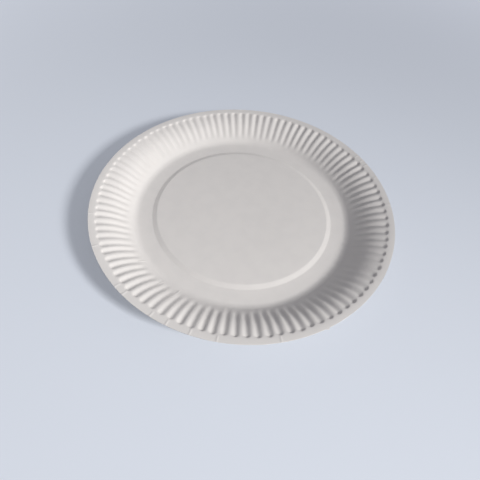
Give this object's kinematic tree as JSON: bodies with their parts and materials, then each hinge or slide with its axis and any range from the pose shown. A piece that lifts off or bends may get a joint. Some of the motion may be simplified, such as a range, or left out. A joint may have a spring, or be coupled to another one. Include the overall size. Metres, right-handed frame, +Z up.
{
  "type": "paper plate",
  "caption": "Round pressed paperboard plate with a shallow raised disc in the floor, a sloping wall of radial flutes and a narrow flat lip.",
  "frame": {"origin": "centre of the underside, on the surface that the plate rests on", "axes": "+Z up along the plate's axis, from the underside to the open side; the plate is alike all round, so +X and +Y are any two directions in the surface that it rests on"},
  "size_m": [0.23, 0.23, 0.016],
  "materials": {
    "paperboard": "matte uncoated white board"
  },
  "bodies": {
    "root": {"plate": "paperboard"}
  },
  "joints": []
}
